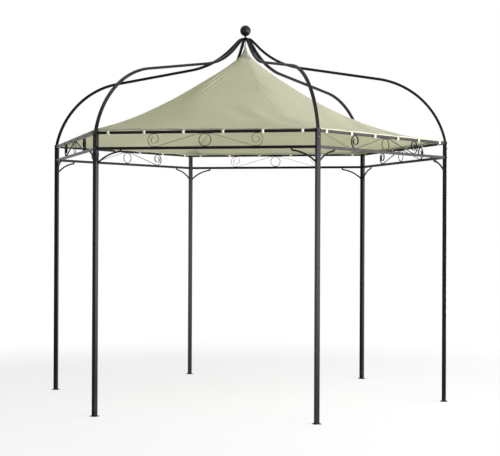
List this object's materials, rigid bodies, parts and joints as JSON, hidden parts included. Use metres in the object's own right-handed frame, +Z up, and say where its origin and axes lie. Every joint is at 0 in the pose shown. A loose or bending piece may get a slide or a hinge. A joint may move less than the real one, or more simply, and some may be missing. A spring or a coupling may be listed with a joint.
{
  "type": "hexagonal metal gazebo",
  "caption": "Open hexagonal garden gazebo: square posts, bent ogee ribs meeting under a ball finial, scrolled friezes with corner braces and a hung fabric tent canopy.",
  "frame": {"origin": "centre of the hexagon on the ground, under the foot plates", "axes": "+Z up along the crown, -Y towards the front flat side, +X through the right corner post"},
  "size_m": [3.56, 3.107, 3.2707],
  "materials": {
    "frame_paint": "black powder coat, satin with a fine texture",
    "canopy_fabric": "sage beige woven polyester, slightly translucent",
    "tie_fabric": "off-white woven strap",
    "cap_plastic": "black moulded sleeve",
    "hook_steel": "black painted bent wire"
  },
  "bodies": {
    "root": {"post_front_right": "frame_paint", "post_right": "frame_paint", "post_back_right": "frame_paint", "post_back_left": "frame_paint", "post_left": "frame_paint", "post_front_left": "frame_paint", "rib_front_right": "frame_paint", "rib_right": "frame_paint", "rib_back_right": "frame_paint", "rib_back_left": "frame_paint", "rib_left": "frame_paint", "rib_front_left": "frame_paint", "top_rail_front": "frame_paint", "top_rail_front_right": "frame_paint", "top_rail_back_right": "frame_paint", "top_rail_back": "frame_paint", "top_rail_back_left": "frame_paint", "top_rail_front_left": "frame_paint", "bottom_rail_front": "frame_paint", "bottom_rail_front_right": "frame_paint", "bottom_rail_back_right": "frame_paint", "bottom_rail_back": "frame_paint", "bottom_rail_back_left": "frame_paint", "bottom_rail_front_left": "frame_paint", "scrollwork_front": "frame_paint", "scrollwork_front_right": "frame_paint", "scrollwork_back_right": "frame_paint", "scrollwork_back": "frame_paint", "scrollwork_back_left": "frame_paint", "scrollwork_front_left": "frame_paint", "braces_front": "frame_paint", "braces_front_right": "frame_paint", "braces_back_right": "frame_paint", "braces_back": "frame_paint", "braces_back_left": "frame_paint", "braces_front_left": "frame_paint", "foot_plates": "frame_paint", "post_caps": "cap_plastic", "crown_hub": "frame_paint", "finial": "frame_paint", "canopy_hook": "hook_steel", "canopy": "canopy_fabric", "canopy_ties": "tie_fabric"}
  },
  "joints": []
}
